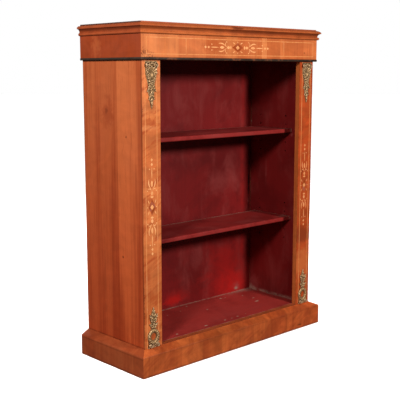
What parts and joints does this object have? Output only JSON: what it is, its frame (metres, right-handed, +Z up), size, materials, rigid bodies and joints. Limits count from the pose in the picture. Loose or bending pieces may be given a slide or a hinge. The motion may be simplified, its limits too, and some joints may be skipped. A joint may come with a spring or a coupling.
{
  "type": "bookcase",
  "caption": "Low open bookcase with loose adjustable shelves on turned pegs, inlaid walnut case, moulded cornice and plinth, gilt mounts and a red-painted inside.",
  "frame": {"origin": "on the floor, under the middle of the plinth's footprint", "axes": "+Z up, the open front faces -Y, the width runs along X"},
  "size_m": [0.828, 0.315, 1.05],
  "materials": {
    "walnut": "polished straight-grained walnut veneer, worn",
    "figured_walnut": "polished burr and figured walnut veneer",
    "boxwood": "polished boxwood inlay",
    "ebonised": "wood stained black and polished",
    "rosewood": "polished reddish-brown inlay",
    "gilt_brass": "cast, gilt and tarnished",
    "red_paint": "old dark red paint, rubbed and chipped",
    "pine": "bare aged pine",
    "turned_wood": "turned beech, bare",
    "iron": "dull iron"
  },
  "bodies": {
    "case": {"back_board_1": "red_paint", "back_board_2": "red_paint", "back_board_3": "red_paint", "back_board_4": "red_paint", "back_nails": "iron", "base_rail_back": "pine", "base_rail_front": "pine", "base_rail_left": "pine", "base_rail_right": "pine", "bead_front": "ebonised", "bead_left": "ebonised", "bead_right": "ebonised", "cornice_front": "walnut", "cornice_left": "walnut", "cornice_right": "walnut", "dark_lozenges": "rosewood", "floor_board": "red_paint", "floor_lipping": "walnut", "frieze_front": "figured_walnut", "frieze_left": "walnut", "frieze_marquetry": "boxwood", "frieze_rail": "pine", "frieze_right": "walnut", "frieze_stringing": "boxwood", "glue_blocks": "pine", "left_bottom_mount": "gilt_brass", "left_pilaster": "walnut", "left_pilaster_marquetry": "boxwood", "left_pilaster_stringing": "boxwood", "left_pilaster_veneer": "figured_walnut", "left_side": "red_paint", "left_side_veneer": "walnut", "left_top_mount": "gilt_brass", "mount_pins": "gilt_brass", "plinth_front": "figured_walnut", "plinth_left": "walnut", "plinth_right": "walnut", "right_bottom_mount": "gilt_brass", "right_pilaster": "walnut", "right_pilaster_marquetry": "boxwood", "right_pilaster_stringing": "boxwood", "right_pilaster_veneer": "figured_walnut", "right_side": "red_paint", "right_side_veneer": "walnut", "right_top_mount": "gilt_brass", "top_board": "pine", "top_lip": "walnut", "top_screws": "iron"},
    "upper_shelf": {"upper_shelf": "red_paint"},
    "lower_shelf": {"lower_shelf": "red_paint"},
    "lower_peg_left_back": {"lower_peg_left_back": "turned_wood"},
    "lower_peg_left_front": {"lower_peg_left_front": "turned_wood"},
    "lower_peg_right_back": {"lower_peg_right_back": "turned_wood"},
    "lower_peg_right_front": {"lower_peg_right_front": "turned_wood"},
    "upper_peg_left_back": {"upper_peg_left_back": "turned_wood"},
    "upper_peg_left_front": {"upper_peg_left_front": "turned_wood"},
    "upper_peg_right_back": {"upper_peg_right_back": "turned_wood"},
    "upper_peg_right_front": {"upper_peg_right_front": "turned_wood"}
  },
  "joints": [
    {"name": "upper_shelf_lift", "type": "slide", "parent": "case", "child": "upper_shelf", "axis": [0, 0, 1], "range_m": [0, 0.3]},
    {"name": "lower_shelf_lift", "type": "slide", "parent": "case", "child": "lower_shelf", "axis": [0, 0, 1], "range_m": [0, 0.28]},
    {"name": "lower_peg_left_back_pull", "type": "slide", "parent": "case", "child": "lower_peg_left_back", "axis": [1, 0, 0], "range_m": [0, 0.0145]},
    {"name": "lower_peg_left_front_pull", "type": "slide", "parent": "case", "child": "lower_peg_left_front", "axis": [1, 0, 0], "range_m": [0, 0.0145]},
    {"name": "lower_peg_right_back_pull", "type": "slide", "parent": "case", "child": "lower_peg_right_back", "axis": [-1, 0, 0], "range_m": [0, 0.0145]},
    {"name": "lower_peg_right_front_pull", "type": "slide", "parent": "case", "child": "lower_peg_right_front", "axis": [-1, 0, 0], "range_m": [0, 0.0145]},
    {"name": "upper_peg_left_back_pull", "type": "slide", "parent": "case", "child": "upper_peg_left_back", "axis": [1, 0, 0], "range_m": [0, 0.0145]},
    {"name": "upper_peg_left_front_pull", "type": "slide", "parent": "case", "child": "upper_peg_left_front", "axis": [1, 0, 0], "range_m": [0, 0.0145]},
    {"name": "upper_peg_right_back_pull", "type": "slide", "parent": "case", "child": "upper_peg_right_back", "axis": [-1, 0, 0], "range_m": [0, 0.0145]},
    {"name": "upper_peg_right_front_pull", "type": "slide", "parent": "case", "child": "upper_peg_right_front", "axis": [-1, 0, 0], "range_m": [0, 0.0145]}
  ]
}
